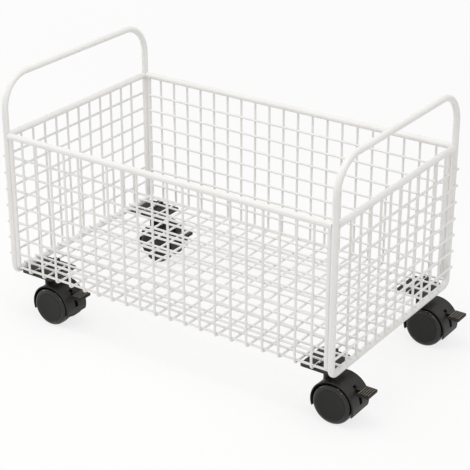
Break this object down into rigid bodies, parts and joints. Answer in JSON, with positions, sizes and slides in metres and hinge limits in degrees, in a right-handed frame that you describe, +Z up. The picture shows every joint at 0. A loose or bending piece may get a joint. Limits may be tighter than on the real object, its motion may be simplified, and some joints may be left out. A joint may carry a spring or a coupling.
{
  "type": "rolling book cart",
  "caption": "Open welded-wire basket cart with raised hoop handles at both ends, on hooded twin-wheel swivel casters with foot brake levers.",
  "frame": {"origin": "on the floor, under the middle of the basket", "axes": "+X along the cart towards the end where the brake levers point, +Y to its back, +Z up"},
  "size_m": [0.5148, 0.2852, 0.3286],
  "materials": {
    "white_powder_coat": "smooth warm white powder coat",
    "black_nylon": "moulded, fine satin texture",
    "black_wheel": "moulded, smooth satin",
    "black_steel": "black oxide",
    "bright_steel": "turned",
    "spring_steel": "plain"
  },
  "bodies": {
    "cart": {"left_hoop": "white_powder_coat", "right_hoop": "white_powder_coat", "left_rim_bar": "white_powder_coat", "right_rim_bar": "white_powder_coat", "front_rim_frame": "white_powder_coat", "back_rim_frame": "white_powder_coat", "front_uprights": "white_powder_coat", "back_uprights": "white_powder_coat", "front_long_wires": "white_powder_coat", "back_long_wires": "white_powder_coat", "floor_cross_wires": "white_powder_coat", "floor_long_wires": "white_powder_coat", "left_end_uprights": "white_powder_coat", "right_end_uprights": "white_powder_coat", "left_end_cross_wires": "white_powder_coat", "right_end_cross_wires": "white_powder_coat", "grip_rings": "spring_steel", "front_left_caster_plate": "black_nylon", "front_left_kingpin": "black_steel", "front_right_caster_plate": "black_nylon", "front_right_kingpin": "black_steel", "back_left_caster_plate": "black_nylon", "back_left_kingpin": "black_steel", "back_right_caster_plate": "black_nylon", "back_right_kingpin": "black_steel"},
    "front_left_swivel": {"front_left_hood": "black_nylon", "front_left_axle": "bright_steel", "front_left_lever_pin": "bright_steel"},
    "front_left_wheel_outer": {"front_left_outer_wheel": "black_wheel"},
    "front_left_wheel_inner": {"front_left_inner_wheel": "black_wheel"},
    "front_left_lever": {"front_left_brake_lever": "black_nylon"},
    "front_right_swivel": {"front_right_hood": "black_nylon", "front_right_axle": "bright_steel", "front_right_lever_pin": "bright_steel"},
    "front_right_wheel_outer": {"front_right_outer_wheel": "black_wheel"},
    "front_right_wheel_inner": {"front_right_inner_wheel": "black_wheel"},
    "front_right_lever": {"front_right_brake_lever": "black_nylon"},
    "back_left_swivel": {"back_left_hood": "black_nylon", "back_left_axle": "bright_steel", "back_left_lever_pin": "bright_steel"},
    "back_left_wheel_outer": {"back_left_outer_wheel": "black_wheel"},
    "back_left_wheel_inner": {"back_left_inner_wheel": "black_wheel"},
    "back_left_lever": {"back_left_brake_lever": "black_nylon"},
    "back_right_swivel": {"back_right_hood": "black_nylon", "back_right_axle": "bright_steel", "back_right_lever_pin": "bright_steel"},
    "back_right_wheel_outer": {"back_right_outer_wheel": "black_wheel"},
    "back_right_wheel_inner": {"back_right_inner_wheel": "black_wheel"},
    "back_right_lever": {"back_right_brake_lever": "black_nylon"}
  },
  "joints": [
    {"name": "front_left_swivel_turn", "type": "hinge", "parent": "cart", "child": "front_left_swivel", "pos_m": [-0.2025, -0.1105, 0.05], "axis": [0, 0, 1], "continuous": true},
    {"name": "front_left_outer_wheel_spin", "type": "hinge", "parent": "front_left_swivel", "child": "front_left_wheel_outer", "pos_m": [-0.1877, -0.1105, 0.025], "axis": [0, 1, 0], "continuous": true},
    {"name": "front_left_inner_wheel_spin", "type": "hinge", "parent": "front_left_swivel", "child": "front_left_wheel_inner", "pos_m": [-0.1877, -0.1105, 0.025], "axis": [0, 1, 0], "continuous": true},
    {"name": "front_left_brake_press", "type": "hinge", "parent": "front_left_swivel", "child": "front_left_lever", "pos_m": [-0.1757, -0.1105, 0.037], "axis": [0, 1, 0], "range_deg": [0, 20]},
    {"name": "front_right_swivel_turn", "type": "hinge", "parent": "cart", "child": "front_right_swivel", "pos_m": [0.2155, -0.1105, 0.05], "axis": [0, 0, 1], "continuous": true},
    {"name": "front_right_outer_wheel_spin", "type": "hinge", "parent": "front_right_swivel", "child": "front_right_wheel_outer", "pos_m": [0.2303, -0.1105, 0.025], "axis": [0, 1, 0], "continuous": true},
    {"name": "front_right_inner_wheel_spin", "type": "hinge", "parent": "front_right_swivel", "child": "front_right_wheel_inner", "pos_m": [0.2303, -0.1105, 0.025], "axis": [0, 1, 0], "continuous": true},
    {"name": "front_right_brake_press", "type": "hinge", "parent": "front_right_swivel", "child": "front_right_lever", "pos_m": [0.2423, -0.1105, 0.037], "axis": [0, 1, 0], "range_deg": [0, 20]},
    {"name": "back_left_swivel_turn", "type": "hinge", "parent": "cart", "child": "back_left_swivel", "pos_m": [-0.2025, 0.1105, 0.05], "axis": [0, 0, 1], "continuous": true},
    {"name": "back_left_outer_wheel_spin", "type": "hinge", "parent": "back_left_swivel", "child": "back_left_wheel_outer", "pos_m": [-0.1877, 0.1105, 0.025], "axis": [0, 1, 0], "continuous": true},
    {"name": "back_left_inner_wheel_spin", "type": "hinge", "parent": "back_left_swivel", "child": "back_left_wheel_inner", "pos_m": [-0.1877, 0.1105, 0.025], "axis": [0, 1, 0], "continuous": true},
    {"name": "back_left_brake_press", "type": "hinge", "parent": "back_left_swivel", "child": "back_left_lever", "pos_m": [-0.1757, 0.1105, 0.037], "axis": [0, 1, 0], "range_deg": [0, 20]},
    {"name": "back_right_swivel_turn", "type": "hinge", "parent": "cart", "child": "back_right_swivel", "pos_m": [0.2155, 0.1105, 0.05], "axis": [0, 0, 1], "continuous": true},
    {"name": "back_right_outer_wheel_spin", "type": "hinge", "parent": "back_right_swivel", "child": "back_right_wheel_outer", "pos_m": [0.2303, 0.1105, 0.025], "axis": [0, 1, 0], "continuous": true},
    {"name": "back_right_inner_wheel_spin", "type": "hinge", "parent": "back_right_swivel", "child": "back_right_wheel_inner", "pos_m": [0.2303, 0.1105, 0.025], "axis": [0, 1, 0], "continuous": true},
    {"name": "back_right_brake_press", "type": "hinge", "parent": "back_right_swivel", "child": "back_right_lever", "pos_m": [0.2423, 0.1105, 0.037], "axis": [0, 1, 0], "range_deg": [0, 20]}
  ]
}
